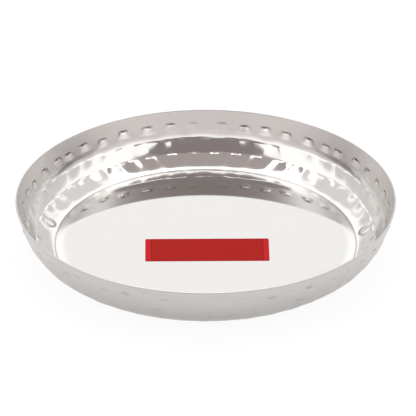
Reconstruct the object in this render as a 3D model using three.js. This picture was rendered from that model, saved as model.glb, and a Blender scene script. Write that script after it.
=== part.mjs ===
// A hammered stainless-steel snack plate: one pressed sheet dish with the adhesive label on its base.
// Millimetres and radians, +Z up. The origin is the centre of the underside, which the plate stands on.
import * as THREE from "three";

// The dish, measured over the outside
const RIM_DIAMETER = 150;
const HEIGHT = 20.6;
const SHEET = 0.7;
const BASE_DIAMETER = 119.4; // flat part of the base
const BASE_CURVE_RADIUS = 4; // bend from base to wall, at the middle of the sheet
const FOOT_SLOPE = THREE.MathUtils.degToRad(20); // wall against the base, where the bend ends
const STRAIGHT_WALL = 8.9; // upper wall that no longer bends, measured along it from the rim

// The hammer marks: round caps that rise on the inside and are dents on the outside
const RIM_BAND = 4.9; // plain wall from the rim to the first row
const MARK_DIAMETER = 4.4; // in the first row
const MARK_GAIN = 0.5; // each row is struck harder than the one above it, and its marks are wider by this
const PUNCH_RADIUS = 5.8; // round face of the punch, so a wider mark is also deeper
const ROW_PITCH = 6.45;
const MARKS_PER_ROW = 48;
const UNEVEN_ACROSS = 0.42; // how far a hand-set mark strays in its row, as a share of the gap beside it
const UNEVEN_ALONG = 0.25; // how far it strays up or down the wall, as a share of the gap to the next row
const UNEVEN_SIZE = 0.2; // how much its diameter varies, as a share of the same gap
const PATTERN_SEED = 179.76; // picks one of the patterns that a hand could set

// The label, lying on the base in front of its middle
const LABEL_LENGTH = 49;
const LABEL_WIDTH = 17.6;
const LABEL_THICKNESS = 0.15;
const LABEL_CORNER_RADIUS = 0.8;
const LABEL_FORWARD = 6.4;
const LABEL_SIDEWAYS = 0.6;
const LABEL_TURN = THREE.MathUtils.degToRad(0.6);
const LABEL_CLEARANCE = 2; // from its farthest corner to the open ring of the base, which is a face of its own

// Steps and sides of the faceted surfaces
const BASE_CURVE_STEPS = 3;
const RIM_BAND_STEPS = 1;
const RIM_EDGE_STEPS = 4;
const MARK_SIDES = 6;
const CROWN_SIDES = 3; // flat top of a mark
const CROWN_REACH = 0.45; // its width as a share of the mark's

const steel = new THREE.MeshStandardMaterial({ color: 0xdcd9d5, roughness: 0.12, metalness: 1 });
const labelFilm = new THREE.MeshStandardMaterial({ color: 0xc4282c, roughness: 0.35, metalness: 0 });

// The half section along the middle of the sheet. A run is a distance along it from the axis.
const half = SHEET / 2;
const baseRadius = BASE_DIAMETER / 2;
const foot = new THREE.Vector2(
  baseRadius + BASE_CURVE_RADIUS * Math.sin(FOOT_SLOPE),
  half + BASE_CURVE_RADIUS * (1 - Math.cos(FOOT_SLOPE)),
);
const rim = new THREE.Vector2(RIM_DIAMETER / 2 - half, HEIGHT - half);
const wallChord = rim.clone().sub(foot);
const lean = wallChord.angle() - FOOT_SLOPE;
const wallTurn = 2 * Math.atan2(Math.sin(lean), Math.cos(lean) + STRAIGHT_WALL / wallChord.length());
const bentChord = wallChord.length() * Math.cos(lean - wallTurn / 2) - STRAIGHT_WALL * Math.cos(wallTurn / 2);
const bentWall = bentChord / sinc(wallTurn / 2);
const footRun = baseRadius + BASE_CURVE_RADIUS * FOOT_SLOPE;
const rimRun = footRun + bentWall + STRAIGHT_WALL;

// The rows of marks, from the rim down: as many as the wall and the base curve have room for.
const firstRowRun = rimRun - RIM_BAND - MARK_DIAMETER / 2;
const rowCount = Math.floor((firstRowRun + ROW_PITCH / 2 - baseRadius) / ROW_PITCH);
const lastRowRun = firstRowRun - (rowCount - 1) * ROW_PITCH;

// The flat base is open for serving outside the circle that the label's farthest corner needs.
const labelCorner = new THREE.Vector2(
  LABEL_LENGTH / 2 + Math.abs(LABEL_SIDEWAYS),
  LABEL_WIDTH / 2 + Math.abs(LABEL_FORWARD),
);
const openRadius = labelCorner.length() + LABEL_CLEARANCE;

// Each mark has a cell of its own, two steps of the ring wide.
const ringSteps = 2 * MARKS_PER_ROW;
const stepAngle = (2 * Math.PI) / ringSteps;

function sinc(angle) {
  return angle === 0 ? 1 : Math.sin(angle) / angle;
}

// Radius, height and slope of the sheet's middle: flat base, base curve, wall that bends evenly and then runs
// straight to the rim.
function section(run) {
  if (run <= baseRadius) {
    return { radius: run, height: half, slope: 0 };
  }
  if (run <= footRun) {
    const bend = (run - baseRadius) / BASE_CURVE_RADIUS;
    return {
      radius: baseRadius + BASE_CURVE_RADIUS * Math.sin(bend),
      height: half + BASE_CURVE_RADIUS * (1 - Math.cos(bend)),
      slope: bend,
    };
  }
  const bent = Math.min(run - footRun, bentWall);
  const straight = run - footRun - bent;
  const turn = (wallTurn * bent) / bentWall;
  const reach = bent * sinc(turn / 2);
  const slope = FOOT_SLOPE + turn;
  return {
    radius: foot.x + reach * Math.cos(FOOT_SLOPE + turn / 2) + straight * Math.cos(slope),
    height: foot.y + reach * Math.sin(FOOT_SLOPE + turn / 2) + straight * Math.sin(slope),
    slope,
  };
}

function onCircle(radius, azimuth, height) {
  return [radius * Math.cos(azimuth), radius * Math.sin(azimuth), height];
}

// The place of a sheet point that stands off the middle of the sheet, towards the inside of the dish.
function place({ azimuth, run, lift }, offset) {
  const { radius, height, slope } = section(run);
  const inward = lift + offset;
  return onCircle(radius - inward * Math.sin(slope), azimuth, height + inward * Math.cos(slope));
}

// A repeatable number from -1 to 1 that scatters one mark of the hand-hammered pattern.
function scatter(row, mark, kind) {
  const wave = Math.sin(12.9898 * row + 78.233 * mark + 37.719 * kind + PATTERN_SEED) * 43758.5453;
  return 2 * (wave - Math.floor(wave)) - 1;
}

// The two triangles between each pair of neighbours on two rings of points.
function bandTriangles(inner, outer) {
  return inner.flatMap((point, step) => {
    const next = (step + 1) % inner.length;
    return [
      [point, outer[step], outer[next]],
      [point, outer[next], inner[next]],
    ];
  });
}

// The middle of the sheet as points and triangles, before it gets its thickness.
class SheetFace {
  points = [];
  triangles = [];

  add(azimuth, run, lift = 0) {
    return this.points.push({ azimuth, run, lift }) - 1;
  }

  ring(run) {
    return Array.from({ length: ringSteps }, (_, step) => this.add(step * stepAngle, run));
  }

  // Plain sheet from one ring up to another run, in even steps. Returns the ring that it ends on.
  plain(ring, from, to, steps) {
    let last = ring;
    for (let step = 1; step <= steps; step += 1) {
      const next = this.ring(from + ((to - from) * step) / steps);
      this.triangles.push(...bandTriangles(last, next));
      last = next;
    }
    return last;
  }

  // Triangles between an outline and a hole in it, laid flat around a centre.
  fill(centre, outline, hole = []) {
    const { radius } = section(centre.run);
    const flat = (point) => {
      const { azimuth, run } = this.points[point];
      const away = azimuth - centre.azimuth;
      return new THREE.Vector2(run, radius * Math.atan2(Math.sin(away), Math.cos(away)));
    };
    const corners = [...outline, ...hole];
    const holes = hole.length ? [hole.map(flat)] : [];
    for (const face of THREE.ShapeUtils.triangulateShape(outline.map(flat), holes)) {
      this.triangles.push(face.map((corner) => corners[corner]));
    }
  }

  // One mark in its cell: plain sheet up to the mark's edge, then a faceted cap of the punch's round face.
  mark(cell, centre, edgeReach) {
    const { radius } = section(centre.run);
    const circle = (reach, sides) =>
      Array.from({ length: sides }, (_, side) => {
        const angle = (2 * Math.PI * side) / sides;
        return this.add(
          centre.azimuth + (reach * Math.sin(angle)) / radius,
          centre.run + reach * Math.cos(angle),
          Math.sqrt(PUNCH_RADIUS ** 2 - reach ** 2) - Math.sqrt(PUNCH_RADIUS ** 2 - edgeReach ** 2),
        );
      });
    const edge = circle(edgeReach, MARK_SIDES);
    const crown = circle(CROWN_REACH * edgeReach, CROWN_SIDES);
    this.fill(centre, cell, edge);
    this.fill(centre, edge, crown);
    this.fill(centre, crown);
  }

  // One row of marks between the rings below and above it. Every second row is set half a cell round.
  row(row, run, below, above) {
    const shift = (row + 1) % 2;
    const { radius } = section(run);
    const diameter = MARK_DIAMETER + row * MARK_GAIN;
    const sideGap = 2 * stepAngle * radius - diameter;
    const rowGap = ROW_PITCH - diameter;
    const sides = Array.from({ length: MARKS_PER_ROW }, (_, mark) =>
      this.add((2 * mark + shift - 1) * stepAngle, run),
    );
    for (let mark = 0; mark < MARKS_PER_ROW; mark += 1) {
      const middle = 2 * mark + shift;
      const steps = [middle - 1, middle, middle + 1].map((step) => (step + ringSteps) % ringSteps);
      const cell = [
        ...steps.map((step) => below[step]),
        sides[(mark + 1) % MARKS_PER_ROW],
        ...steps.map((step) => above[step]).reverse(),
        sides[mark],
      ];
      const across = UNEVEN_ACROSS * sideGap * scatter(row, mark, 0);
      const centre = {
        azimuth: middle * stepAngle + across / radius,
        run: run + UNEVEN_ALONG * rowGap * scatter(row, mark, 1),
      };
      this.mark(cell, centre, (diameter + UNEVEN_SIZE * rowGap * scatter(row, mark, 2)) / 2);
    }
  }
}

// Base, base curve, rows of marks and rim band, with the ring of points that they end on at the rim.
function dishFace() {
  const face = new SheetFace();
  const middle = face.add(0, 0);
  const openEdge = face.ring(openRadius);
  openEdge.forEach((point, step) => {
    face.triangles.push([middle, point, openEdge[(step + 1) % ringSteps]]);
  });
  const baseEdge = face.plain(openEdge, openRadius, baseRadius, 1);
  let ring = face.plain(baseEdge, baseRadius, lastRowRun - ROW_PITCH / 2, BASE_CURVE_STEPS);
  for (let row = rowCount - 1; row >= 0; row -= 1) {
    const run = firstRowRun - row * ROW_PITCH;
    const above = face.ring(run + ROW_PITCH / 2);
    face.row(row, run, ring, above);
    ring = above;
  }
  const rimRing = face.plain(ring, firstRowRun + ROW_PITCH / 2, rimRun, RIM_BAND_STEPS);
  return { face, rimRing };
}

// The pressed dish: the face on both sides of the sheet, closed by the rounded edge of the rim.
function dishGeometry() {
  const { face, rimRing } = dishFace();
  const count = face.points.length;
  const corners = [
    ...face.points.map((point) => place(point, half)),
    ...face.points.map((point) => place(point, -half)),
  ];
  const inside = face.triangles;
  const outside = face.triangles.map(([a, b, c]) => [count + a, count + c, count + b]);
  const { slope } = section(rimRun);
  const edge = [];
  let last = rimRing;
  for (let step = 1; step < RIM_EDGE_STEPS; step += 1) {
    const angle = slope + Math.PI / 2 - (Math.PI * step) / RIM_EDGE_STEPS;
    const radius = rim.x + half * Math.cos(angle);
    const height = rim.y + half * Math.sin(angle);
    const next = rimRing.map((_, around) => corners.push(onCircle(radius, around * stepAngle, height)) - 1);
    edge.push(...bandTriangles(last, next));
    last = next;
  }
  edge.push(...bandTriangles(last, rimRing.map((point) => count + point)));
  const geometry = new THREE.BufferGeometry();
  geometry.setAttribute("position", new THREE.Float32BufferAttribute(corners.flat(), 3));
  geometry.setIndex([...inside, ...outside, ...edge].flat());
  geometry.computeVertexNormals();
  return geometry;
}

// The label: a thin film with rounded corners.
function labelGeometry() {
  const x = LABEL_LENGTH / 2 - LABEL_CORNER_RADIUS;
  const y = LABEL_WIDTH / 2 - LABEL_CORNER_RADIUS;
  const quarter = Math.PI / 2;
  const outline = new THREE.Shape();
  outline.absarc(x, y, LABEL_CORNER_RADIUS, 0, quarter);
  outline.absarc(-x, y, LABEL_CORNER_RADIUS, quarter, 2 * quarter);
  outline.absarc(-x, -y, LABEL_CORNER_RADIUS, 2 * quarter, 3 * quarter);
  outline.absarc(x, -y, LABEL_CORNER_RADIUS, 3 * quarter, 4 * quarter);
  outline.closePath();
  return new THREE.ExtrudeGeometry(outline, {
    depth: LABEL_THICKNESS,
    bevelEnabled: false,
    curveSegments: 4,
  });
}

const dish = new THREE.Mesh(dishGeometry(), steel);
dish.name = "dish";

const label = new THREE.Mesh(labelGeometry(), labelFilm);
label.name = "label";
label.position.set(LABEL_SIDEWAYS, -LABEL_FORWARD, SHEET);
label.rotation.z = LABEL_TURN;

const snackPlate = new THREE.Group();
snackPlate.add(dish, label);

export default snackPlate;
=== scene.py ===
"""Looks of a hammered steel snack plate: the pressed dish, the label on its base and the studio around them.

Metres and radians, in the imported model's frame: +Z up, +X to the right of the label, -Y towards its reader.
"""

import logging
import math
from dataclasses import dataclass, field
from enum import Enum
from typing import Any

import bmesh
import bpy
import numpy as np
from mathutils import Matrix, Vector


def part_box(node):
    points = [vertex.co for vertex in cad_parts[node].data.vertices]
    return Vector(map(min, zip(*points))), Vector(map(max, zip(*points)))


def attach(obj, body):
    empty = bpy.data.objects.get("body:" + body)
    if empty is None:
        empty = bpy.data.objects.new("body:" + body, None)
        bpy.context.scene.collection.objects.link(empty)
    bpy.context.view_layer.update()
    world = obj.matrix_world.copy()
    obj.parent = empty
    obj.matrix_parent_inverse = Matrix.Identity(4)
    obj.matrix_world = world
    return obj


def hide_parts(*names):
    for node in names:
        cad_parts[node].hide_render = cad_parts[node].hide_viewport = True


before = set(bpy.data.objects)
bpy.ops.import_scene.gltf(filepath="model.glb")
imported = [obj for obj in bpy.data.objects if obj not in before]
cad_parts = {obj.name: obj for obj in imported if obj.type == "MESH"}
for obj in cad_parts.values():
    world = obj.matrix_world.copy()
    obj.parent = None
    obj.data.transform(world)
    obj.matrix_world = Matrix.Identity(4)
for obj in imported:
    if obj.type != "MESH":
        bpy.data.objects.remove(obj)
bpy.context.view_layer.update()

Colour = tuple[float, float, float]
Array = np.ndarray

MM = 0.001
FULL_TURN = 2 * math.pi
ROOT_BODY = "root"
log = logging.getLogger("snack_plate")


def opaque(colour: Colour) -> tuple[float, float, float, float]:
    """A colour as a socket takes it, with full alpha."""
    return (*colour, 1.0)


class Wire:
    """An output socket that Python's operators work on: each operator adds one Math node to the graph."""

    def __init__(self, graph: "Graph", socket: bpy.types.NodeSocket | None) -> None:
        """Keeps the socket and the graph that it belongs to."""
        self.graph = graph
        self.socket = socket

    def out(self, name: str) -> "Wire":
        """Another output of the same node."""
        return Wire(self.graph, self.socket.node.outputs[name])

    def math(self, operation: str, *others: "Wire | float") -> "Wire":
        """A Math node with this socket first."""
        return self.graph.math(operation, self, *others)

    def __add__(self, other: "Wire | float") -> "Wire":
        """self + other."""
        return self.graph.math("ADD", self, other)

    def __radd__(self, other: float) -> "Wire":
        """other + self."""
        return self.graph.math("ADD", other, self)

    def __sub__(self, other: "Wire | float") -> "Wire":
        """self - other."""
        return self.graph.math("SUBTRACT", self, other)

    def __rsub__(self, other: float) -> "Wire":
        """other - self."""
        return self.graph.math("SUBTRACT", other, self)

    def __mul__(self, other: "Wire | float") -> "Wire":
        """self * other."""
        return self.graph.math("MULTIPLY", self, other)

    def __rmul__(self, other: float) -> "Wire":
        """other * self."""
        return self.graph.math("MULTIPLY", other, self)

    def __truediv__(self, other: "Wire | float") -> "Wire":
        """self / other."""
        return self.graph.math("DIVIDE", self, other)

    def __pow__(self, other: float) -> "Wire":
        """self ** other."""
        return self.graph.math("POWER", self, other)

    def __abs__(self) -> "Wire":
        """The size of self without its sign."""
        return self.graph.math("ABSOLUTE", self)


class Graph:
    """The nodes of one material or of the world.

    A Mix node's colour sockets share their names with others, so they are known by number.
    """

    MIX_FIRST = 6
    MIX_SECOND = 7
    MIX_RESULT = 2

    def __init__(self, tree: bpy.types.NodeTree) -> None:
        """Starts from an empty tree."""
        self.tree = tree
        tree.nodes.clear()

    def node(
        self,
        kind: str,
        settings: dict[str, Any] | None = None,
        inputs: dict[str | int, Any] | None = None,
        output: str | int = 0,
    ) -> Wire:
        """Adds a node.

        Args:
            kind: The node's type name.
            settings: Its properties, which are set first.
            inputs: Values or wires for its sockets, by name or number.
            output: The output to return.

        Returns:
            That output, or an empty wire for a node that has none.
        """
        node = self.tree.nodes.new(kind)
        for name, value in (settings or {}).items():
            setattr(node, name, value)
        for name, value in (inputs or {}).items():
            if isinstance(value, Wire):
                self.tree.links.new(value.socket, node.inputs[name])
            else:
                node.inputs[name].default_value = value
        return Wire(self, node.outputs[output] if len(node.outputs) else None)

    def math(self, operation: str, *values: Wire | float) -> Wire:
        """A Math node of one operation on its values."""
        return self.node("ShaderNodeMath", {"operation": operation}, dict(enumerate(values)))

    def ramp(self, value: Wire, start: float, end: float) -> Wire:
        """A smooth step from 0 at start to 1 at end; start may be the larger one.

        Args:
            value: What the step follows.
            start: Where it begins.
            end: Where it is complete.

        Returns:
            A value from 0 to 1.
        """
        return self.node(
            "ShaderNodeMapRange",
            {"interpolation_type": "SMOOTHSTEP"},
            {"Value": value, "From Min": start, "From Max": end},
        )

    def edge(self, value: Wire, middle: float, softness: float) -> Wire:
        """A soft edge: 0 below the middle and 1 above it, or the reverse where softness is negative."""
        return self.ramp(value, middle - softness, middle + softness)

    def mix(self, factor: Wire, first: Wire | Colour, second: Wire | Colour) -> Wire:
        """A colour between two others.

        Args:
            factor: 0 for the first colour, 1 for the second.
            first: A wire or a plain colour.
            second: A wire or a plain colour.

        Returns:
            The mixed colour.
        """
        colours = [opaque(c) if isinstance(c, tuple) else c for c in (first, second)]
        inputs = {0: factor, self.MIX_FIRST: colours[0], self.MIX_SECOND: colours[1]}
        return self.node("ShaderNodeMix", {"data_type": "RGBA"}, inputs, self.MIX_RESULT)

    def vector(self, x: Wire | float, y: Wire | float, z: Wire | float) -> Wire:
        """Three values as one vector."""
        return self.node("ShaderNodeCombineXYZ", None, {0: x, 1: y, 2: z})

    def parts(self, vector: Wire) -> tuple[Wire, Wire, Wire]:
        """The X, Y and Z of a vector."""
        split = self.node("ShaderNodeSeparateXYZ", None, {0: vector})
        return split.out("X"), split.out("Y"), split.out("Z")

    def noise(self, vector: Wire, detail: float) -> Wire:
        """Noise from 0 to 1 at one step per unit of the vector."""
        return self.node("ShaderNodeTexNoise", None, {"Vector": vector, "Scale": 1.0, "Detail": detail})

    def attribute(self, name: str) -> Wire:
        """One of the mesh's own values."""
        return self.node("ShaderNodeAttribute", {"attribute_name": name}, None, "Fac")


def new_material(name: str) -> tuple[bpy.types.Material, Graph]:
    """Makes an empty material.

    Args:
        name: The material's name.

    Returns:
        The material and its graph.
    """
    material = bpy.data.materials.new(name)
    material.use_nodes = True
    return material, Graph(material.node_tree)


def finished_mesh(name: str, shape: bmesh.types.BMesh) -> bpy.types.Mesh:
    """Turns a modelled shape into a mesh.

    Args:
        name: The mesh's name.
        shape: The shape, which is freed.

    Returns:
        The mesh.
    """
    mesh = bpy.data.meshes.new(name)
    shape.to_mesh(mesh)
    shape.free()
    return mesh


class SheetSide(Enum):
    """The two sides of the sheet, with the sign of their distance from its middle."""

    INSIDE = 1
    OUTSIDE = -1


class MarkTrait(Enum):
    """What differs from one hammer mark to the next, with the number that keeps the scatters apart."""

    ACROSS = 0
    ALONG = 1
    SIZE = 2
    HEIGHT = 3
    # How strongly shade is painted along the mark's crease on the outside.
    PAINTED_DENT_SHADE = 4


@dataclass(frozen=True)
class SteelFinish:
    """Stainless steel as it is finished on one side of the sheet.

    Colour and roughness pass from the wall's to the rim band's over fade_to up to fade_from below the rim,
    and to the base's at polish_radius. The rim's cut edge is duller. The mesh says where shade is painted
    in a dark colour and where the ledges are burnished.
    """

    name: str
    base_colour: Colour
    wall_colour: Colour
    band_colour: Colour
    streak_colour: Colour
    base_roughness: float
    wall_roughness: float
    band_roughness: float
    fade_from: float
    fade_to: float
    streak_share: float
    streak_roughness: float
    streak_length: float = 26 * MM
    streak_width: float = 0.8 * MM
    streak_detail: float = 3.0
    streak_range: tuple[float, float] = (0.45, 0.75)
    streak_below_band: float = 0.25
    polish_radius: float = 56.5 * MM
    polish_fade: float = 1.5 * MM
    # The dark colour of painted shade in creases and round dents.
    painted_shade_colour: Colour = (0.12, 0.11, 0.105)
    cut_colour: Colour = (0.5, 0.485, 0.475)

    def material(self, section: "Section") -> bpy.types.Material:
        """Builds the finish.

        Args:
            section: The section whose runs the mesh holds.

        Returns:
            A metal with polishing streaks that run round the dish.
        """
        material, graph = new_material(self.name)
        x, y, _ = graph.parts(graph.node("ShaderNodeTexCoord", None, None, "Object"))
        run = graph.attribute(Dish.RUN)
        around = 1 / self.streak_length
        grain = graph.vector(x * around, y * around, run / self.streak_width)
        streak = graph.ramp(graph.noise(grain, self.streak_detail), *self.streak_range)
        band = graph.ramp(section.rim_run - run, self.fade_to, self.fade_from)
        base = graph.edge(run, self.polish_radius, -self.polish_fade)
        cut = graph.ramp(run, section.rim_run, section.rim_run + section.half / 2)
        dull = streak * (self.streak_below_band + (1 - self.streak_below_band) * band) * (1 - base)
        wall = graph.mix(band, self.wall_colour, self.band_colour)
        plain = graph.mix(base, wall, self.base_colour)
        streaked = graph.mix(self.streak_share * dull, plain, self.streak_colour)
        unshaded = graph.mix(cut, streaked, self.cut_colour)
        satin = self.wall_roughness + band * (self.band_roughness - self.wall_roughness)
        satin = satin + base * (self.base_roughness - self.wall_roughness) + self.streak_roughness * dull
        # Painted shade from the mesh darkens the base colour; burnish only lowers the roughness.
        burnish = graph.attribute(Dish.BURNISH)
        shader = graph.node(
            "ShaderNodeBsdfPrincipled",
            None,
            {
                "Base Color": graph.mix(graph.attribute(Dish.PAINTED_SHADE), unshaded, self.painted_shade_colour),
                "Metallic": 1.0,
                "Roughness": satin + burnish * (self.base_roughness - satin),
            },
        )
        graph.node("ShaderNodeOutputMaterial", None, {"Surface": shader})
        return material


@dataclass
class Section:
    """Half section of the dish along the middle of its sheet; a run is a distance along it from the axis.

    The corners of the cut rim reach further out than a round rim's, so it is drawn in by corner_overhang.
    """

    rim_diameter: float
    height: float
    sheet: float = 0.7 * MM
    base_diameter: float = 119.4 * MM
    base_curve_radius: float = 4 * MM
    foot_slope: float = math.radians(20)
    straight_wall: float = 8.9 * MM
    corner_overhang: float = 0.05 * MM

    def __post_init__(self) -> None:
        """Works out where the base curve, the wall and the rim begin."""
        self.half = self.sheet / 2
        self.base_radius = self.base_diameter / 2
        self.foot_run = self.base_radius + self.base_curve_radius * self.foot_slope
        self.foot = Vector((
            self.base_radius + self.base_curve_radius * math.sin(self.foot_slope),
            self.half + self.base_curve_radius * (1 - math.cos(self.foot_slope)),
        ))
        past_rim = self.half + self.corner_overhang
        self.rim = Vector((self.rim_diameter / 2 - past_rim, self.height - past_rim))
        chord = self.rim - self.foot
        lean = math.atan2(chord.y, chord.x) - self.foot_slope
        straight_share = self.straight_wall / chord.length
        self.wall_turn = 2 * math.atan2(math.sin(lean), math.cos(lean) + straight_share)
        half_turn = self.wall_turn / 2
        bent_chord = chord.length * math.cos(lean - half_turn) - self.straight_wall * math.cos(half_turn)
        self.bent_wall = bent_chord / np.sinc(half_turn / math.pi)
        self.rim_run = self.foot_run + self.bent_wall + self.straight_wall

    def at(self, run: Array) -> tuple[Array, Array, Array]:
        """The sheet's middle at some runs; past the rim it goes straight on.

        Args:
            run: Distances along the section.

        Returns:
            Radius, height and slope.
        """
        bend = np.clip((run - self.base_radius) / self.base_curve_radius, 0, self.foot_slope)
        bent = np.clip(run - self.foot_run, 0, self.bent_wall)
        straight = np.maximum(run - self.foot_run - self.bent_wall, 0)
        turn = self.wall_turn * bent / self.bent_wall
        reach = bent * np.sinc(turn / FULL_TURN)
        slope = bend + turn
        radius = (
            np.minimum(run, self.base_radius)
            + self.base_curve_radius * np.sin(bend)
            + reach * np.cos(self.foot_slope + turn / 2)
            + straight * np.cos(slope)
        )
        height = (
            self.half
            + self.base_curve_radius * (1 - np.cos(bend))
            + reach * np.sin(self.foot_slope + turn / 2)
            + straight * np.sin(slope)
        )
        return radius, height, slope

    def place(self, run: Array, inward: Array, azimuth: Array) -> Array:
        """Points that stand off the middle of the sheet.

        Args:
            run: Distances along the section.
            inward: Distances from the middle of the sheet towards the inside of the dish.
            azimuth: Angles round the axis.

        Returns:
            One row of three coordinates for each point.
        """
        radius, height, slope = self.at(run)
        radius = radius - inward * np.sin(slope)
        height = height + inward * np.cos(slope)
        return np.column_stack((radius * np.cos(azimuth), radius * np.sin(azimuth), height))


@dataclass
class HammerMarks:
    """Rows of marks that are struck into the wall by hand and show on both sides of the sheet.

    A mark is a lip: a steep ledge on the rim side that starts at a crease, and a tail below it. The first
    sunk_rows are dents on the inside; the others are raised there and merge in part into ridges that wander.
    The blows burnish the first row's ledges and are light about the rear azimuth. Single deep blows lie near
    the base. Shade is painted in a dark colour in the first row's creases, least about the rear azimuth, in
    rings on the base side of the deep blows and along the edge of the base. On the outside, shade is painted
    in patches along the creases of the upper rows.
    """

    FIRST_ROW = 0

    section: Section
    rim_band: float = 4.9 * MM
    row_pitch: float = 6.45 * MM
    per_row: int = 48
    diameter: float = 4.4 * MM
    diameter_gain: float = 0.5 * MM
    height: float = 0.32 * MM
    height_gain: float = 0.06 * MM
    ledge: float = 0.68 * MM
    ledge_gain: float = 0.07 * MM
    ledge_power: float = 1.25
    tail: float = 7.5 * MM
    tail_spread: float = 0.5
    side_power: float = 1.5
    sunk_rows: int = 1
    sunk_tail: float = 2.6 * MM
    merging: tuple[float, ...] = (0.0, 0.45, 0.3)
    ridge_wander: float = 0.45 * MM
    ridge_fade: float = 0.5
    ridge_waves: tuple[int, int] = (7, 19)
    uneven_across: float = 0.42
    uneven_along: float = 0.25
    uneven_size: float = 0.2
    uneven_height: float = 0.25
    pattern_seed: float = 179.76
    row_scatter: float = 12.9898
    mark_scatter: float = 78.233
    trait_scatter: float = 37.719
    scatter_gain: float = 43758.5453
    # The rear azimuth: there the first row is struck lightly and its painted crease shade is faintest.
    rear_azimuth: float = math.radians(90)
    faint_shade_spread: float = math.radians(17)
    faint_shade_share: float = 0.08
    light_spread: float = math.radians(9)
    light_share: float = 0.6
    # Painted shade: where a dark colour is painted along the first row's creases.
    painted_shade_middle: float = -0.02 * MM
    painted_shade_reach: float = 0.42 * MM
    burnish_middle: float = 0.6 * MM
    burnish_reach: float = 1.0 * MM
    burnish_power: float = 5.0
    deep_azimuths: tuple[float, ...] = (math.radians(168), math.radians(6))
    deep_run: float = 64.2 * MM
    deep_reach: float = 2.7 * MM
    # The width of the painted shade ring on the base side of each deep blow.
    deep_line: float = 0.7 * MM
    deep_height: float = 0.3 * MM
    # Painted shade along the edge of the base, stronger at the front than at the rear.
    base_line: float = 0.5 * MM
    base_line_front: float = 0.95
    base_line_rear: float = 0.3
    # On the outside, shade is painted in patches along the creases of the upper rows.
    painted_dent_rows: int = 2
    painted_dent_reach: float = 0.6 * MM
    painted_dent_share: float = 0.45
    ripple: float = 0.03 * MM
    ripple_length: float = 9 * MM
    ripples_round: int = 29
    ripple_drift: float = 1.3
    drift_waves: tuple[int, int] = (11, 17)
    slope_step: float = 0.02 * MM

    def __post_init__(self) -> None:
        """Counts the rows that the wall and the base curve have room for."""
        self.first_run = self.section.rim_run - self.rim_band - self.diameter / 2
        room = self.first_run + self.row_pitch / 2 - self.section.base_radius
        self.rows = math.floor(room / self.row_pitch)

    def row_run(self, row: int) -> float:
        """Where the middle of a row lies, along the section."""
        return self.first_run - row * self.row_pitch

    def row_diameter(self, row: int) -> float:
        """How wide the marks of a row are before they get uneven."""
        return self.diameter + row * self.diameter_gain

    def row_crease(self, row: int) -> float:
        """Where the creases of a row lie before they get uneven, along the section."""
        return self.row_run(row) + self.row_diameter(row) / 2

    def row_ledge(self, row: int) -> float:
        """How long the ledges of a row are, along the section."""
        return self.ledge + row * self.ledge_gain

    def scatter(self, row: int, mark: Array, trait: MarkTrait) -> Array:
        """Repeatable numbers from -1 to 1, one for each mark.

        Args:
            row: The row's number.
            mark: Numbers of the marks in the row.
            trait: What the numbers are for.

        Returns:
            The numbers.
        """
        phase = self.row_scatter * row + self.mark_scatter * mark + self.trait_scatter * trait.value
        wave = np.sin(phase + self.pattern_seed) * self.scatter_gain
        return 2 * (wave - np.floor(wave)) - 1

    @staticmethod
    def turn_between(first: Array, second: Array | float) -> Array:
        """The angle from the second azimuth to the first, within half a turn."""
        return (first - second + math.pi) % FULL_TURN - math.pi

    def blow_strength(self, row: int, azimuth: Array) -> Array | float:
        """How hard a row is struck, from 0 to 1: the first one lightly about the rear_azimuth."""
        off_rear_azimuth = self.turn_between(azimuth, self.rear_azimuth) / self.light_spread
        return 1 - self.light_share * np.exp(-(off_rear_azimuth**2)) if row == self.FIRST_ROW else 1.0

    def row_marks(
        self, row: int, run: Array, azimuth: Array
    ) -> list[tuple[Array, Array, Array]]:
        """The marks of a row that may reach each point: the one in whose cell it lies and its neighbours.

        Args:
            row: The row's number, 0 at the rim.
            run: Distances along the section.
            azimuth: Angles round the axis.

        Returns:
            For each of the three, how far the point lies below its crease, how high it stands there across
            its width as a share of the row's height, and how strongly shade is painted along it on the
            outside, from -1 to 1.
        """
        step = math.pi / self.per_row
        shift = (row + 1) % 2
        diameter = self.row_diameter(row)
        row_run = self.row_run(row)
        row_radius = self.section.at(np.array(row_run))[0]
        row_gap = self.row_pitch - diameter
        side_gap = 2 * step * row_radius - diameter
        cell = np.rint((azimuth / step - shift) / 2)
        marks = []
        for neighbour in (-1, 0, 1):
            mark = (cell + neighbour) % self.per_row
            across, along, size, height, painted_dent_shade = (self.scatter(row, mark, trait) for trait in MarkTrait)
            reach = (diameter + self.uneven_size * row_gap * size) / 2
            crease = row_run + self.uneven_along * row_gap * along + reach
            middle = (2 * mark + shift) * step + self.uneven_across * side_gap * across / row_radius
            below = crease - run
            width = reach + self.tail_spread * np.maximum(below, 0)
            sideways = row_radius * self.turn_between(azimuth, middle) / width
            blow = (1 + self.uneven_height * height) * self.blow_strength(row, middle)
            marks.append((below, blow * np.maximum(1 - sideways**2, 0) ** self.side_power, painted_dent_shade))
        return marks

    def ledge_zone(self, run: Array) -> Array:
        """Tells the ledges from the smooth wall.

        Args:
            run: Distances along the section.

        Returns:
            1 where a row's ledges may lie and 0 elsewhere.
        """
        zone = np.zeros_like(run)
        for row in range(self.rows):
            crease = self.row_crease(row)
            spread = (self.uneven_along + self.uneven_size / 2) * (self.row_pitch - self.row_diameter(row))
            zone[(run > crease - spread - self.row_ledge(row)) & (run < crease + spread)] = 1
        return zone

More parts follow.
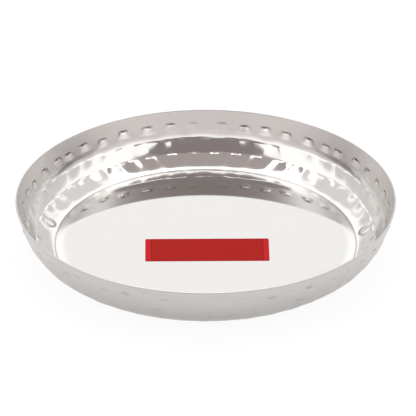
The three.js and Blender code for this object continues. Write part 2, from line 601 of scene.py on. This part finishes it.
    def lip(self, row: int, below: Array) -> Array:
        """The form of a mark from its crease down: straight where it is sunk, rounded where it is raised.

        Args:
            row: The number of its row.
            below: Distances below the crease.

        Returns:
            A height or depth from 0 to 1.
        """
        ledge = self.row_ledge(row)
        if row < self.sunk_rows:
            fall = np.clip((below - ledge) / self.sunk_tail, 0, 1)
            return np.clip(below / ledge, 0, 1) * (1 - fall)
        climb = 1 - np.maximum(1 - np.maximum(below, 0) / ledge, 0) ** self.ledge_power
        fall = np.clip((below - ledge) / self.tail, 0, 1)
        return climb * (1 + np.cos(math.pi * fall)) / 2

    def row_lift(self, row: int, run: Array, azimuth: Array) -> Array:
        """How far one row lifts the sheet towards the inside; its marks may merge into a ridge.

        Args:
            row: The row's number, 0 at the rim.
            run: Distances along the section.
            azimuth: Angles round the axis.

        Returns:
            The lift at each point.
        """
        merged = self.merging[row]
        phase = self.pattern_seed * (row + 1)
        slow, quick = (np.sin(waves * azimuth + phase) for waves in self.ridge_waves)
        ridge = self.row_crease(row) + self.ridge_wander * (slow + quick) / 2
        lift = merged * (1 - self.ridge_fade * (1 + slow * quick) / 2) * self.lip(row, ridge - run)
        for below, share, _ in self.row_marks(row, run, azimuth):
            lift = lift + (1 - merged) * share * self.lip(row, below)
        height = self.height + row * self.height_gain
        return lift * (-height if row < self.sunk_rows else height)

    def off_deep(self, run: Array, azimuth: Array) -> list[Array]:
        """Distances from the deep blows near the base.

        Args:
            run: Distances along the section.
            azimuth: Angles round the axis.

        Returns:
            For each blow, how far every point lies from its middle.
        """
        radius = self.section.at(np.array(self.deep_run))[0]
        turns = [self.turn_between(azimuth, blow) for blow in self.deep_azimuths]
        return [np.hypot(radius * turn, run - self.deep_run) for turn in turns]

    def lift(self, run: Array, azimuth: Array) -> Array:
        """How far the sheet is lifted towards the inside, by all blows and a slight ripple of the wall.

        Args:
            run: Distances along the section.
            azimuth: Angles round the axis.

        Returns:
            The lift at each point.
        """
        rows = np.sum([self.row_lift(row, run, azimuth) for row in range(self.rows)], axis=0)
        caps = [np.maximum(1 - (off / self.deep_reach) ** 2, 0) for off in self.off_deep(run, azimuth)]
        below_band = (self.section.rim_run - self.rim_band - run) / self.diameter
        above_base = (run - self.section.base_radius) / self.diameter
        wall = np.clip(np.minimum(below_band, above_base), 0, 1)
        slow, quick = (np.sin(waves * azimuth) for waves in self.drift_waves)
        round_wave = np.sin(self.ripples_round * azimuth + slow)
        long_wave = np.sin(FULL_TURN * run / self.ripple_length + self.ripple_drift * quick)
        return rows + self.deep_height * np.sum(caps, axis=0) + self.ripple * wall * round_wave * long_wave

    def slopes(self, run: Array, azimuth: Array, radius: Array) -> tuple[Array, Array]:
        """How steeply the lift changes.

        Args:
            run: Distances along the section.
            azimuth: Angles round the axis.
            radius: Distances from the axis.

        Returns:
            The slope along the section, towards the rim, and the slope round the axis.
        """
        step = self.slope_step
        turn = step / np.maximum(radius, self.diameter)
        along = self.lift(run + step, azimuth) - self.lift(run - step, azimuth)
        around = self.lift(run, azimuth + turn) - self.lift(run, azimuth - turn)
        return along / (2 * step), around / (2 * step)

    def along_creases(
        self, row: int, run: Array, azimuth: Array, middle: float, reach: float, patchy: bool = False
    ) -> Array:
        """Dashes along the creases of a row.

        Args:
            row: The row's number, 0 at the rim.
            run: Distances along the section.
            azimuth: Angles round the axis.
            middle: How far below the crease a dash is strongest.
            reach: How far from there it fades out, along the section.
            patchy: Whether some marks have none.

        Returns:
            A share from 0 to 1 at each point.
        """
        dashes = np.zeros_like(run)
        for below, share, painted_dent_shade in self.row_marks(row, run, azimuth):
            off_middle = (below - middle) / reach
            strength = np.maximum(painted_dent_shade, 0) if patchy else 1
            dashes += strength * np.sqrt(share) * np.maximum(1 - off_middle**2, 0)
        return np.clip(dashes, 0, 1)

    def burnish(self, run: Array, azimuth: Array) -> Array:
        """How far the ledges of the first row are burnished, from 0 to 1."""
        ledges = self.along_creases(self.FIRST_ROW, run, azimuth, self.burnish_middle, self.burnish_reach)
        return ledges * self.blow_strength(self.FIRST_ROW, azimuth) ** self.burnish_power

    def painted_shade(self, run: Array, azimuth: Array) -> Array:
        """How much shade is painted on the inside: in creases, at the edge of the base and round the deep
        blows.

        Args:
            run: Distances along the section.
            azimuth: Angles round the axis.

        Returns:
            A share from 0 to 1 at each point.
        """
        off_rear_azimuth = self.turn_between(azimuth, self.rear_azimuth) / self.faint_shade_spread
        # Painted shade in the creases, faintest about the rear azimuth.
        crease_shade = 1 - (1 - self.faint_shade_share) * np.exp(-(off_rear_azimuth**2))
        creases = self.along_creases(self.FIRST_ROW, run, azimuth, self.painted_shade_middle, self.painted_shade_reach)
        # Painted shade along the edge of the base, stronger at the front, and in rings round the deep blows.
        rear = (1 + np.sin(azimuth)) / 2
        line_share = self.base_line_front + rear * (self.base_line_rear - self.base_line_front)
        line = np.maximum(1 - np.abs(run - self.section.base_radius) / self.base_line, 0)
        off_rings = [np.abs(off - self.deep_reach) / self.deep_line for off in self.off_deep(run, azimuth)]
        rings = np.sum([np.maximum(1 - off, 0) for off in off_rings], axis=0)
        base_side = np.clip((self.deep_run + self.deep_reach / 2 - run) / self.deep_reach, 0, 1)
        return np.clip(crease_shade * creases + line_share * line + base_side * rings, 0, 1)

    def painted_dent_shade(self, run: Array, azimuth: Array) -> Array:
        """How much shade is painted in patches along the creases of the upper rows on the outside, from 0 to
        1.
        """
        return self.painted_dent_share * sum(
            self.along_creases(row, run, azimuth, 0, self.painted_dent_reach, True) for row in range(self.painted_dent_rows)
        )


@dataclass
class Dish:
    """The plate itself: one sheet pressed to a flat base and a curved wall, hammered, and cut off at the rim.

    The names in capitals are those of the values that the mesh holds for each vertex.
    """

    RUN = "run"
    INWARD = "inward"
    PAINTED_SHADE = "painted_shade"
    BURNISH = "burnish"
    NORMAL = "custom_normal"

    section: Section
    marks: HammerMarks
    sectors: int = 96
    sector_cuts: int = 7
    wall_steps: dict[SheetSide, int] = field(
        default_factory=lambda: {SheetSide.INSIDE: 72, SheetSide.OUTSIDE: 28}
    )
    base_curve_steps: int = 4
    ledge_density: float = 3.0
    density_samples: int = 2000
    rim_corner: float = 0.45
    rim_corner_steps: int = 3
    share_digits: int = 4
    base_edge_band: float = 0.5 * MM
    weld_distance: float = 1e-7
    inside: SteelFinish = SteelFinish(
        name="mirror_polished_steel",
        base_colour=(0.576, 0.571, 0.564),
        wall_colour=(0.69, 0.68, 0.67),
        band_colour=(0.695, 0.674, 0.664),
        streak_colour=(0.66, 0.645, 0.635),
        base_roughness=0.04,
        wall_roughness=0.13,
        band_roughness=0.31,
        fade_from=7.0 * MM,
        fade_to=10.0 * MM,
        streak_share=0.6,
        streak_roughness=0.04,
    )
    # On the outside the colour darkens from the rim down towards the foot: painted shade, where the wall
    # reflects the shaded floor under the plate.
    outside: SteelFinish = SteelFinish(
        name="satin_steel",
        base_colour=(0.4, 0.38, 0.372),
        wall_colour=(0.315, 0.298, 0.291),
        band_colour=(0.6, 0.574, 0.56),
        streak_colour=(0.5, 0.475, 0.465),
        base_roughness=0.32,
        wall_roughness=0.32,
        band_roughness=0.3,
        fade_from=1.0 * MM,
        fade_to=25.0 * MM,
        streak_share=0.4,
        streak_roughness=0.03,
    )

    def side_runs(self, side: SheetSide) -> Array:
        """Where one side's rings lie, closer together at the ledges.

        Args:
            side: The side of the sheet.

        Returns:
            Runs from the axis to the rim.
        """
        base = self.section.base_radius
        foot = self.section.foot_run
        fine = np.linspace(foot, self.section.rim_run, self.density_samples)
        steps = np.cumsum(1 + self.ledge_density * self.marks.ledge_zone(fine))
        wall = np.interp(np.linspace(steps[0], steps[-1], self.wall_steps[side] + 1), steps, fine)
        flat = [0.0, base / 2, base - self.base_edge_band]
        return np.array([*flat, *np.linspace(base, foot, self.base_curve_steps, endpoint=False), *wall])

    def outline(self) -> list[tuple[float, float]]:
        """The closed half section: inside, cut rim with rounded corners, outside.

        Returns:
            Runs and distances from the middle of the sheet towards the inside.
        """
        half = self.section.half
        inner, outer = ([(run, side.value * half) for run in self.side_runs(side)] for side in SheetSide)
        corner = self.rim_corner * half
        top = self.section.rim_run + half - corner
        turns = np.linspace(math.pi / 2, 0, self.rim_corner_steps + 1)
        bend = [(top + corner * math.cos(turn), half - corner + corner * math.sin(turn)) for turn in turns]
        return [*inner, *bend, *((run, -inward) for run, inward in reversed(bend)), *reversed(outer)]

    def spun_mesh(self) -> bpy.types.Mesh:
        """Spins the half section about the axis and closes the two poles.

        Returns:
            A plain dish whose vertices keep their run and inward distance.
        """
        shape = bmesh.new()
        run_layer = shape.verts.layers.float.new(self.RUN)
        inward_layer = shape.verts.layers.float.new(self.INWARD)
        outline = self.outline()
        runs, inwards = np.array(outline).T
        corners = []
        for point, (run, inward) in zip(self.section.place(runs, inwards, np.zeros(len(runs))), outline):
            corner = shape.verts.new(point)
            corner[run_layer] = run
            corner[inward_layer] = inward
            corners.append(corner)
        edges = [shape.edges.new(pair) for pair in zip(corners, corners[1:])]
        bmesh.ops.spin(
            shape,
            geom=[*corners, *edges],
            axis=(0, 0, 1),
            cent=(0, 0, 0),
            angle=FULL_TURN,
            steps=self.sectors,
            use_merge=True,
        )
        bmesh.ops.remove_doubles(shape, verts=shape.verts, dist=self.weld_distance)
        bmesh.ops.recalc_face_normals(shape, faces=shape.faces)
        for face in shape.faces:
            face.smooth = True
            face.material_index = int(sum(corner[inward_layer] for corner in face.verts) < 0)
        rings = [
            edge for edge in shape.edges if len({(v[run_layer], v[inward_layer]) for v in edge.verts}) == 1
        ]
        bmesh.ops.subdivide_edges(shape, edges=rings, cuts=self.sector_cuts, use_grid_fill=True)
        return finished_mesh("dish", shape)

    @staticmethod
    def values(mesh: bpy.types.Mesh, name: str) -> Array:
        """One of the mesh's own values, for each vertex."""
        return np.array([vertex.value for vertex in mesh.attributes[name].data])

    def normals(self, run: Array, inward: Array, azimuth: Array) -> Array:
        """The true directions of the hammered surface, which keep the marks' ledges crisp.

        Args:
            run: Distances along the section.
            inward: Distances from the middle of the plain sheet towards the inside of the dish.
            azimuth: Angles round the axis.

        Returns:
            One row of three coordinates for each point.
        """
        radius, _, slope = self.section.at(run)
        along, around = self.marks.slopes(run, azimuth, radius)
        zero = np.zeros_like(run)
        outward = np.column_stack((np.cos(azimuth), np.sin(azimuth), zero))
        onward = np.column_stack((-np.sin(azimuth), np.cos(azimuth), zero))
        upward = np.column_stack((zero, zero, zero + 1))
        rimward = np.cos(slope)[:, None] * outward + np.sin(slope)[:, None] * upward
        level = np.cos(slope)[:, None] * upward - np.sin(slope)[:, None] * outward
        inside = level - along[:, None] * rimward - around[:, None] * onward
        inside /= np.linalg.norm(inside, axis=1)[:, None]
        off_middle = np.round(np.abs(inward) / self.section.half, self.share_digits)
        face = np.clip(1 - (1 - off_middle) / self.rim_corner, 0, 1)[:, None]
        facing = np.sign(inward)[:, None] * face * inside + np.sqrt(1 - face**2) * rimward
        return facing / np.linalg.norm(facing, axis=1)[:, None]

    def hammer(self, mesh: bpy.types.Mesh) -> None:
        """Moves the vertices to where the marks lift the sheet, and gives them painted shade, burnish and
        normals.

        Args:
            mesh: The plain dish.
        """
        points = np.zeros(3 * len(mesh.vertices), np.float32)
        mesh.vertices.foreach_get("co", points)
        x, y, _ = points.reshape(-1, 3).astype(float).T
        azimuth = np.arctan2(y, x) % FULL_TURN
        run = self.values(mesh, self.RUN)
        inward = self.values(mesh, self.INWARD)
        inside = inward > 0
        # Painted shade: a dark colour in the inside creases, along the edge of the base and round the deep
        # blows, and in patches along the outside creases of the upper rows.
        painted_shade = np.where(inside, self.marks.painted_shade(run, azimuth), self.marks.painted_dent_shade(run, azimuth))
        burnish = np.where(inside, self.marks.burnish(run, azimuth), 0)
        for name, value in ((self.PAINTED_SHADE, painted_shade), (self.BURNISH, burnish)):
            layer = mesh.attributes.new(name, "FLOAT", "POINT")
            layer.data.foreach_set("value", value.astype(np.float32))
        places = self.section.place(run, inward + self.marks.lift(run, azimuth), azimuth)
        mesh.vertices.foreach_set("co", places.astype(np.float32).ravel())
        mesh.update()
        normals = mesh.attributes.new(self.NORMAL, "FLOAT_VECTOR", "POINT")
        normals.data.foreach_set("vector", self.normals(run, inward, azimuth).astype(np.float32).ravel())

    def build(self) -> bpy.types.Object:
        """Models the dish and dresses it.

        Returns:
            The piece that stands for the CAD dish.
        """
        mesh = self.spun_mesh()
        self.hammer(mesh)
        for finish in (self.inside, self.outside):
            mesh.materials.append(finish.material(self.section))
        return add_piece("hammered_dish", mesh, node="dish")


@dataclass(frozen=True)
class PrintFinish:
    """Glossy printed film: a plain panel inside a border, with a fine line between them.

    Softnesses are shares of the line's width.
    """

    name: str = "red_print_film"
    border: Colour = (0.57, 0.007, 0.013)
    panel: Colour = (0.405, 0.006, 0.002)
    line: Colour = (0.17, 0.003, 0.005)
    roughness: float = 0.32
    specular_level: float = 0.04
    line_width: float = 0.35 * MM
    line_share: float = 0.85
    line_softness: float = 0.15
    border_softness: float = 0.1
    mottle_size: float = 1.1 * MM
    mottle_detail: float = 4.0
    mottle_range: tuple[float, float] = (0.35, 0.75)
    mottle_share: float = 0.12
    mottle_roughness: float = 0.08

    def material(self, panel_half: Vector, middle: Vector, turn: float) -> bpy.types.Material:
        """Builds the finish.

        Args:
            panel_half: Half the length and half the width of the panel.
            middle: The label's middle.
            turn: Its turn about +Z.

        Returns:
            The printed film.
        """
        material, graph = new_material(self.name)
        centred = graph.node(
            "ShaderNodeMapping",
            {"vector_type": "TEXTURE"},
            {
                "Vector": graph.node("ShaderNodeTexCoord", None, None, "Object"),
                "Location": middle,
                "Rotation": (0, 0, turn),
            },
        )
        x, y, _ = graph.parts(centred)
        beyond = (abs(x) - panel_half.x).math("MAXIMUM", abs(y) - panel_half.y)
        line = graph.edge(abs(beyond), self.line_width / 2, -self.line_softness * self.line_width)
        outside = graph.edge(beyond, 0.0, self.border_softness * self.line_width)
        size = 1 / self.mottle_size
        mottle = graph.noise(graph.vector(x * size, y * size, 0.0), self.mottle_detail)
        ground = graph.mix(outside, self.panel, self.border)
        ink = graph.mix(self.mottle_share * graph.ramp(mottle, *self.mottle_range), ground, self.line)
        shader = graph.node(
            "ShaderNodeBsdfPrincipled",
            None,
            {
                "Base Color": graph.mix(self.line_share * line, ink, self.line),
                "Roughness": self.roughness + self.mottle_roughness * mottle,
                "Specular IOR Level": self.specular_level,
            },
        )
        graph.node("ShaderNodeOutputMaterial", None, {"Surface": shader})
        return material


@dataclass
class Label:
    """The adhesive film label on the base, in front of its middle."""

    seat: float
    length: float = 49 * MM
    width: float = 17.6 * MM
    thickness: float = 0.15 * MM
    corner_radius: float = 0.8 * MM
    corner_segments: int = 6
    edge_radius: float = 0.04 * MM
    edge_segments: int = 3
    forward: float = 6.4 * MM
    sideways: float = 0.6 * MM
    turn: float = math.radians(0.6)
    end_border: float = 2.4 * MM
    side_border: float = 0.75 * MM
    finish: PrintFinish = PrintFinish()

    def build(self) -> bpy.types.Object:
        """Models the label and dresses it.

        Returns:
            The piece that stands for the CAD label.
        """
        shape = bmesh.new()
        size = Matrix.Diagonal((self.length, self.width, 1, 1))
        made = bmesh.ops.create_grid(shape, x_segments=1, y_segments=1, size=0.5, matrix=size)
        bmesh.ops.bevel(
            shape,
            geom=made["verts"],
            offset=self.corner_radius,
            offset_type="OFFSET",
            affect="VERTICES",
            segments=self.corner_segments,
            profile=0.5,
            material=-1,
        )
        film = bmesh.ops.extrude_face_region(shape, geom=shape.faces[:])["geom"]
        top = [item for item in film if isinstance(item, bmesh.types.BMVert)]
        bmesh.ops.translate(shape, verts=top, vec=(0, 0, self.thickness))
        bmesh.ops.recalc_face_normals(shape, faces=shape.faces)
        rim = [
            edge for edge in shape.edges if edge.is_manifold and all(corner in top for corner in edge.verts)
        ]
        bmesh.ops.bevel(
            shape,
            geom=rim,
            offset=self.edge_radius,
            offset_type="OFFSET",
            affect="EDGES",
            segments=self.edge_segments,
            profile=0.5,
            material=-1,
        )
        middle = Vector((self.sideways, -self.forward, self.seat))
        shape.transform(Matrix.Translation(middle) @ Matrix.Rotation(self.turn, 4, "Z"))
        mesh = finished_mesh("label", shape)
        panel_half = Vector((self.length / 2 - self.end_border, self.width / 2 - self.side_border))
        mesh.materials.append(self.finish.material(panel_half, middle, self.turn))
        return add_piece("film_label", mesh, node="label")


@dataclass(frozen=True)
class FloorFinish:
    """A pale floor, filled up to white for the camera and in reflections, with the plate's shadow left in."""

    name: str = "pale_floor"
    colour: Colour = (0.85, 0.835, 0.825)
    glow: float = 0.92
    shade: Colour = (0.1, 0.1, 0.1)

    def material(self) -> bpy.types.Material:
        """Builds the finish.

        Returns:
            The floor's material.
        """
        material, graph = new_material(self.name)
        ray = graph.node("ShaderNodeLightPath", None, None, "Is Camera Ray")
        seen = ray.math("MAXIMUM", ray.out("Is Glossy Ray")).math("MAXIMUM", ray.out("Is Transmission Ray"))
        glow = graph.node("ShaderNodeEmission", None, {"Strength": self.glow})
        shade = graph.node("ShaderNodeBsdfDiffuse", None, {"Color": opaque(self.shade)})
        white = graph.node("ShaderNodeAddShader", None, {0: glow, 1: shade})
        pale = graph.node("ShaderNodeBsdfDiffuse", None, {"Color": opaque(self.colour)})
        shader = graph.node("ShaderNodeMixShader", None, {0: seen, 1: pale, 2: white})
        graph.node("ShaderNodeOutputMaterial", None, {"Surface": shader})
        return material


@dataclass
class Studio:
    """A pale floor inside a white light tent that is open overhead, towards the camera.

    Polished steel shows the tent, so its tones are given by direction: a grey skirt near the floor, higher at
    the rear, white cloth above it, a lamp high at the rear with a pale panel on either side, and the opening,
    which shows a dark room at the front and a lit ceiling further up. On a level plane one metre above the
    plate the opening has tapered sides, a straight front and a round rear.
    """

    floor_radius: float = 3.0
    floor_segments: int = 96
    floor_drop: float = 0.05 * MM
    floor: FloorFinish = FloorFinish()
    backdrop: Colour = (1.0, 1.0, 1.0)
    cloth: Colour = (1.48, 1.47, 1.45)
    panel: Colour = (0.95, 0.92, 0.91)
    skirt: Colour = (0.85, 0.785, 0.775)
    rear_skirt: Colour = (0.87, 0.85, 0.84)
    dark: Colour = (0.318, 0.275, 0.272)
    lamp: Colour = (2.4, 2.38, 2.35)
    ceiling: Colour = (0.515, 0.455, 0.447)
    skirt_top: float = math.radians(8)
    cloth_bottom: float = math.radians(20)
    rear_skirt_top: float = math.radians(19)
    rear_cloth_bottom: float = math.radians(27)
    lamp_bottom: float = math.radians(50)
    skirt_end: float = -0.35
    rear_start: float = -0.05
    opening_half_width: float = 0.65
    opening_taper: float = 0.2
    opening_middle: float = 0.05
    opening_skew: float = 0.04
    opening_front: float = -2.6
    opening_bend: float = -0.3
    opening_rear: float = 0.52
    opening_rear_power: float = 3.0
    opening_softness: float = 0.1
    ceiling_front: float = -0.58
    edge_softness: float = 0.05
    panel_inner: float = 0.75
    panel_outer: float = 4.5
    panel_bottom: float = math.radians(30)
    panel_top: float = math.radians(58)
    panel_softness: float = 0.1
    least_divisor: float = 0.05

    def tent(self, graph: Graph) -> Wire:
        """The tent's colour by direction.

        Args:
            graph: The world's nodes.

        Returns:
            The colour.
        """
        x, y, z = graph.parts(graph.node("ShaderNodeTexCoord", None, None, "Generated"))
        rise = z.math("MAXIMUM", self.least_divisor)
        along = y / rise
        across = x / rise - (self.opening_middle + self.opening_skew * along)
        half_width = self.opening_half_width - self.opening_taper * along
        rear = (along - self.opening_bend).math("MAXIMUM", 0.0) / self.opening_rear
        reach = (across / half_width) ** 2 + rear**self.opening_rear_power
        opening = graph.edge(reach, 1, -self.opening_softness)
        opening = opening * graph.edge(along, self.opening_front, self.edge_softness)
        lit = graph.edge(along, self.ceiling_front, self.edge_softness)
        off_rear = abs(x) / y.math("MAXIMUM", self.least_divisor)
        panels = graph.edge(off_rear, self.panel_inner, self.panel_softness)
        panels = panels * graph.edge(off_rear, self.panel_outer, -self.panel_softness)
        panels = panels * graph.edge(z, math.sin(self.panel_bottom), self.edge_softness)
        panels = panels * graph.edge(z, math.sin(self.panel_top), -self.edge_softness)
        behind = graph.ramp(y, self.skirt_end, self.rear_start)
        lamp = behind * graph.edge(z, math.sin(self.lamp_bottom), self.edge_softness)
        above = graph.mix(panels, graph.mix(lamp, self.cloth, self.lamp), self.panel)
        front_high = graph.ramp(z, math.sin(self.skirt_top), math.sin(self.cloth_bottom))
        rear_high = graph.ramp(z, math.sin(self.rear_skirt_top), math.sin(self.rear_cloth_bottom))
        front_wall = graph.mix(front_high, self.skirt, above)
        wall = graph.mix(behind, front_wall, graph.mix(rear_high, self.rear_skirt, above))
        return graph.mix(opening, wall, graph.mix(lit, self.dark, self.ceiling))

    def build_world(self) -> None:
        """Hangs the tent round the scene, plain white to the camera."""
        world = bpy.data.worlds.new("light_tent")
        world.use_nodes = True
        bpy.context.scene.world = world
        graph = Graph(world.node_tree)
        seen = graph.node("ShaderNodeLightPath", None, None, "Is Camera Ray")
        tent = graph.node("ShaderNodeBackground", None, {"Color": self.tent(graph)})
        white = graph.node("ShaderNodeBackground", None, {"Color": opaque(self.backdrop)})
        shader = graph.node("ShaderNodeMixShader", None, {0: seen, 1: tent, 2: white})
        graph.node("ShaderNodeOutputWorld", None, {"Surface": shader})

    def build_floor(self) -> bpy.types.Object:
        """Lays the floor just under the plate.

        Returns:
            The floor.
        """
        shape = bmesh.new()
        bmesh.ops.create_circle(shape, cap_ends=True, segments=self.floor_segments, radius=self.floor_radius)
        bmesh.ops.translate(shape, verts=shape.verts, vec=(0, 0, -self.floor_drop))
        mesh = finished_mesh("floor", shape)
        mesh.materials.append(self.floor.material())
        floor = bpy.data.objects.new("floor", mesh)
        bpy.context.scene.collection.objects.link(floor)
        return floor


@dataclass
class ViewCamera:
    """A long lens that looks down on the plate from the front."""

    rim_height: float
    elevation: float = math.radians(29)
    distance: float = 1.875
    rim_pixels: float = 190.1
    rim_radius: float = 75 * MM
    image_side: float = 416
    rim_centre: tuple[float, float] = (205.69, 198.05)
    sensor: float = 36.0

    def build(self) -> bpy.types.Object:
        """Places the camera so that the rim's centre falls on its pixel.

        Returns:
            The camera.
        """
        pixel = self.rim_radius / self.rim_pixels
        back = Vector((0, -math.cos(self.elevation), math.sin(self.elevation)))
        up = Vector((0, math.sin(self.elevation), math.cos(self.elevation)))
        right = Vector((1, 0, 0))
        middle = self.image_side / 2
        aim = Vector((0, 0, self.rim_height))
        aim += right * (middle - self.rim_centre[0]) * pixel
        aim -= up * (middle - self.rim_centre[1]) * pixel
        lens = bpy.data.cameras.new("view_camera")
        lens.sensor_width = self.sensor
        lens.lens = self.sensor * self.distance / (self.image_side * pixel)
        camera = bpy.data.objects.new("view_camera", lens)
        camera.location = aim + back * self.distance
        camera.rotation_euler = (-back).to_track_quat("-Z", "Y").to_euler()
        bpy.context.scene.collection.objects.link(camera)
        bpy.context.scene.camera = camera
        return camera


def add_piece(name: str, mesh: bpy.types.Mesh, node: str) -> bpy.types.Object:
    """Puts a finished mesh in the scene in the place of a CAD node.

    Args:
        name: The piece's name.
        mesh: Its mesh, already in place.
        node: The CAD node that it stands for.

    Returns:
        The piece.
    """
    piece = bpy.data.objects.new(name, mesh)
    bpy.context.scene.collection.objects.link(piece)
    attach(piece, ROOT_BODY)
    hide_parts(node)
    return piece


def main() -> None:
    """Builds the studio, the camera and the pieces of the plate."""
    logging.basicConfig(level=logging.INFO, format="%(name)s: %(message)s")
    bpy.context.scene.view_settings.view_transform = "Standard"
    low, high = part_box("dish")
    section = Section(rim_diameter=high.x - low.x, height=high.z - low.z)
    ViewCamera(rim_height=high.z).build()
    studio = Studio()
    studio.build_world()
    studio.build_floor()
    for part in (Dish(section, HammerMarks(section)), Label(seat=section.sheet)):
        piece = part.build()
        log.info("%s: %d faces", piece.name, len(piece.data.polygons))


if __name__ == "__main__":
    main()
